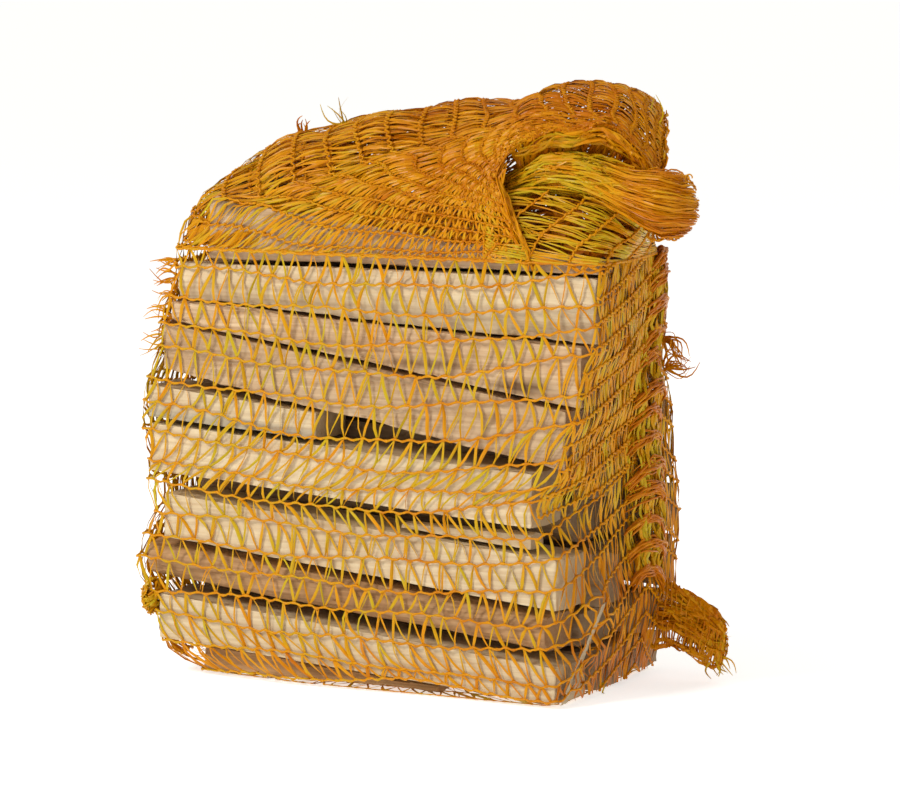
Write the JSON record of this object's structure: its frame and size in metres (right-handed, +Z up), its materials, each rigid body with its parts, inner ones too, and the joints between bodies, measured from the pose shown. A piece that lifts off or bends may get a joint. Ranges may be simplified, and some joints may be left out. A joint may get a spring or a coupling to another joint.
{
  "type": "bundle of split kindling firewood in a net bag",
  "caption": "Split and sawn softwood kindling stacked lengthwise in a knitted plastic net bag, gathered and folded over at one top end; stands on its flat bottom as ready fire-lighting wood.",
  "frame": {"origin": "under the middle of the bundle's box, on the surface it stands on", "axes": "+Z up, the sticks lie along X, the long side that shows most faces -Y, and the gathered mouth of the net is at the +X end"},
  "size_m": [0.298, 0.148, 0.3225],
  "materials": {
    "pale_wood": "matte",
    "tan_wood": "matte",
    "bark_wood": "matte",
    "net": "satin"
  },
  "bodies": {
    "root": {"course_1_stick_1": "tan_wood", "course_1_stick_2": "tan_wood", "course_1_stick_3": "tan_wood", "course_2_stick_1": "tan_wood", "course_2_stick_2": "tan_wood", "course_2_stick_3": "bark_wood", "course_3_stick_1": "tan_wood", "course_3_stick_2": "tan_wood", "course_3_stick_3": "tan_wood", "course_4_stick_1": "tan_wood", "course_4_stick_2": "tan_wood", "course_4_stick_3": "tan_wood", "course_5_stick_1": "tan_wood", "course_5_stick_2": "tan_wood", "course_5_stick_3": "bark_wood", "course_6_stick_1": "tan_wood", "course_6_stick_2": "tan_wood", "course_6_stick_3": "bark_wood", "course_7_stick_1": "tan_wood", "course_7_stick_2": "tan_wood", "course_7_stick_3": "tan_wood", "course_8_stick_1": "tan_wood", "course_8_stick_2": "tan_wood", "course_8_stick_3": "bark_wood", "course_9_stick_1": "tan_wood", "course_9_stick_2": "tan_wood", "course_9_stick_3": "tan_wood", "end_splinter": "pale_wood", "front_base_board": "pale_wood", "front_knotty_stick": "tan_wood", "front_ridged_stick": "pale_wood", "front_round_stick": "bark_wood", "front_shim": "bark_wood", "front_short_stick": "pale_wood", "front_sliver": "pale_wood", "front_square_stick": "pale_wood", "front_top_board": "tan_wood", "front_wedge_stick": "tan_wood", "front_white_board": "pale_wood", "net_bag": "net"}
  },
  "joints": []
}
